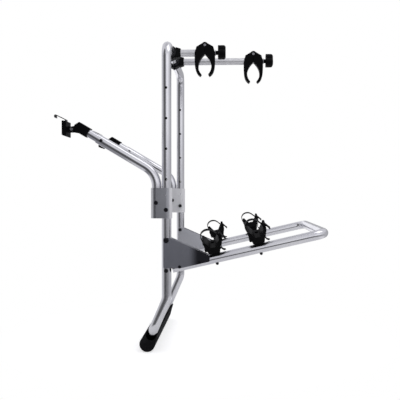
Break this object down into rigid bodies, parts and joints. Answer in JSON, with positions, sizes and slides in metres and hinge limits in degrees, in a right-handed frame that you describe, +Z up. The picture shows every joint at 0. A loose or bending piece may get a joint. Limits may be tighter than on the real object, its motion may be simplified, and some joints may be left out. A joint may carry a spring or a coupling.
{
  "type": "trunk mounted bike rack",
  "caption": "Folding bicycle carrier for a car's tailgate: tube hoop, sloping wheel platform with strapped cups, sliding frame arms with screw claws, telescoping tailgate arms.",
  "frame": {"origin": "on the axis of the hoop's bottom bar, midway between the legs", "axes": "+Z up, +Y towards the car, X across the car"},
  "size_m": [0.6568, 0.9058, 1.0556],
  "materials": {
    "aluminium_tube": "satin anodised",
    "aluminium_plate": "satin",
    "bracket_sleeve": "satin",
    "black_plastic": "moulded",
    "black_foam": "closed-cell foam",
    "strap": "satin",
    "black_steel": "black zinc",
    "steel": "zinc plated",
    "bush_plastic": "moulded"
  },
  "bodies": {
    "frame": {"upper_hoop": "aluminium_tube", "lower_hoop": "aluminium_tube", "hoop_spigots": "aluminium_tube", "bumper_foam": "black_foam", "bracket_left": "bracket_sleeve", "bracket_right": "bracket_sleeve", "outer_arm_left": "aluminium_tube", "outer_arm_right": "aluminium_tube", "bracket_bolts": "black_steel", "bracket_nuts": "black_steel", "leg_bolts": "black_steel", "leg_nuts": "black_steel", "arm_lock_screws": "black_steel"},
    "platform": {"platform_loop": "aluminium_tube", "gusset_left": "aluminium_plate", "gusset_right": "aluminium_plate", "rail_bolts": "black_steel", "rail_nuts": "black_steel", "cup_bolts": "black_steel", "cup_nuts": "black_steel", "wheel_straps": "strap", "wheel_cup_left_inner": "black_plastic", "wheel_cup_left_outer": "black_plastic", "wheel_cup_right_inner": "black_plastic", "wheel_cup_right_outer": "black_plastic"},
    "short_arm_bush": {"short_arm_bush": "bush_plastic"},
    "short_arm": {"short_arm_collar": "black_plastic", "short_arm_clamp_screw": "black_steel", "short_arm_tube": "aluminium_tube"},
    "short_claw": {"short_arm_claw": "black_plastic", "short_arm_jaw_pin": "steel"},
    "short_jaw": {"short_arm_jaw": "black_plastic"},
    "short_washer": {"short_arm_washer": "steel"},
    "short_knob": {"short_arm_knob": "black_plastic", "short_arm_stud": "steel"},
    "long_arm_bush": {"long_arm_bush": "bush_plastic"},
    "long_arm": {"long_arm_collar": "black_plastic", "long_arm_clamp_screw": "black_steel", "long_arm_tube": "aluminium_tube"},
    "long_claw": {"long_arm_claw": "black_plastic", "long_arm_jaw_pin": "steel"},
    "long_jaw": {"long_arm_jaw": "black_plastic"},
    "long_washer": {"long_arm_washer": "steel"},
    "long_knob": {"long_arm_knob": "black_plastic", "long_arm_stud": "steel"},
    "telescope_left": {"inner_arm_left": "aluminium_tube", "knuckle_left": "black_plastic", "foot_pin_left": "steel"},
    "foot_left": {"foot_left": "black_plastic", "tailgate_hook_left": "black_steel"},
    "lever_left_inner": {"buckle_lever_left_inner": "black_plastic"},
    "lever_left_outer": {"buckle_lever_left_outer": "black_plastic"},
    "telescope_right": {"inner_arm_right": "aluminium_tube", "knuckle_right": "black_plastic", "foot_pin_right": "steel"},
    "foot_right": {"foot_right": "black_plastic", "tailgate_hook_right": "black_steel"},
    "lever_right_inner": {"buckle_lever_right_inner": "black_plastic"},
    "lever_right_outer": {"buckle_lever_right_outer": "black_plastic"}
  },
  "joints": [
    {"name": "platform_fold", "type": "hinge", "parent": "frame", "child": "platform", "pos_m": [0, -0.053, 0.318], "axis": [-1, 0, 0], "range_deg": [0, 60]},
    {"name": "short_arm_slide", "type": "slide", "parent": "frame", "child": "short_arm_bush", "axis": [1, 0, 0], "range_m": [-0.03, 0.025]},
    {"name": "short_arm_swing", "type": "hinge", "parent": "short_arm_bush", "child": "short_arm", "pos_m": [-0.145, -0.053, 0.963], "axis": [-1, 0, 0], "range_deg": [-90, 45]},
    {"name": "short_claw_swivel", "type": "hinge", "parent": "short_arm", "child": "short_claw", "pos_m": [-0.145, -0.1739, 0.963], "axis": [0, -1, 0], "range_deg": [-90, 90]},
    {"name": "short_washer_travel", "type": "slide", "parent": "short_claw", "child": "short_washer", "axis": [0, -1, 0], "range_m": [0, 0.0155]},
    {"name": "short_knob_turn", "type": "hinge", "parent": "short_washer", "child": "short_knob", "pos_m": [-0.145, -0.1739, 0.963], "axis": [0, -1, 0], "range_deg": [0, 2160]},
    {"name": "short_jaw_open", "type": "hinge", "parent": "short_claw", "child": "short_jaw", "pos_m": [-0.145, -0.1739, 0.988], "axis": [-1, 0, 0], "range_deg": [0, 19]},
    {"name": "long_arm_slide", "type": "slide", "parent": "frame", "child": "long_arm_bush", "axis": [1, 0, 0], "range_m": [-0.02, 0.17]},
    {"name": "long_arm_swing", "type": "hinge", "parent": "long_arm_bush", "child": "long_arm", "pos_m": [0.005, -0.053, 0.963], "axis": [-1, 0, 0], "range_deg": [-90, 45]},
    {"name": "long_claw_swivel", "type": "hinge", "parent": "long_arm", "child": "long_claw", "pos_m": [0.005, -0.3479, 0.963], "axis": [0, -1, 0], "range_deg": [-90, 90]},
    {"name": "long_washer_travel", "type": "slide", "parent": "long_claw", "child": "long_washer", "axis": [0, -1, 0], "range_m": [0, 0.0155]},
    {"name": "long_knob_turn", "type": "hinge", "parent": "long_washer", "child": "long_knob", "pos_m": [0.005, -0.3479, 0.963], "axis": [0, -1, 0], "range_deg": [0, 2160]},
    {"name": "long_jaw_open", "type": "hinge", "parent": "long_claw", "child": "long_jaw", "pos_m": [0.005, -0.3479, 0.988], "axis": [-1, 0, 0], "range_deg": [0, 19]},
    {"name": "telescope_slide_left", "type": "slide", "parent": "frame", "child": "telescope_left", "axis": [0, 0.8607, 0.509], "range_m": [-0.03, 0.1]},
    {"name": "foot_tilt_left", "type": "hinge", "parent": "telescope_left", "child": "foot_left", "pos_m": [-0.285, 0.25979, 0.68371], "axis": [1, 0, 0], "range_deg": [-25, 25]},
    {"name": "buckle_left_inner", "type": "hinge", "parent": "platform", "child": "lever_left_inner", "pos_m": [-0.3056, -0.22674, 0.34356], "axis": [-0.9272, -0.0849, -0.3649], "range_deg": [0, 75]},
    {"name": "buckle_left_outer", "type": "hinge", "parent": "platform", "child": "lever_left_outer", "pos_m": [-0.3056, -0.37089, 0.37711], "axis": [-0.9272, -0.0849, -0.3649], "range_deg": [0, 75]},
    {"name": "telescope_slide_right", "type": "slide", "parent": "frame", "child": "telescope_right", "axis": [0, 0.8607, 0.509], "range_m": [-0.03, 0.1]},
    {"name": "foot_tilt_right", "type": "hinge", "parent": "telescope_right", "child": "foot_right", "pos_m": [0.285, 0.25979, 0.68371], "axis": [1, 0, 0], "range_deg": [-25, 25]},
    {"name": "buckle_right_inner", "type": "hinge", "parent": "platform", "child": "lever_right_inner", "pos_m": [0.3056, -0.22674, 0.34356], "axis": [-0.9272, 0.0849, 0.3649], "range_deg": [0, 75]},
    {"name": "buckle_right_outer", "type": "hinge", "parent": "platform", "child": "lever_right_outer", "pos_m": [0.3056, -0.37089, 0.37711], "axis": [-0.9272, 0.0849, 0.3649], "range_deg": [0, 75]}
  ],
  "couplings": [
    {"joint": "short_washer_travel", "follows": "short_knob_turn", "m_per_rad": 0.00039789},
    {"joint": "short_jaw_open", "follows": "short_knob_turn", "ratio": 0.0087535},
    {"joint": "long_washer_travel", "follows": "long_knob_turn", "m_per_rad": 0.00039789},
    {"joint": "long_jaw_open", "follows": "long_knob_turn", "ratio": 0.0087535}
  ]
}
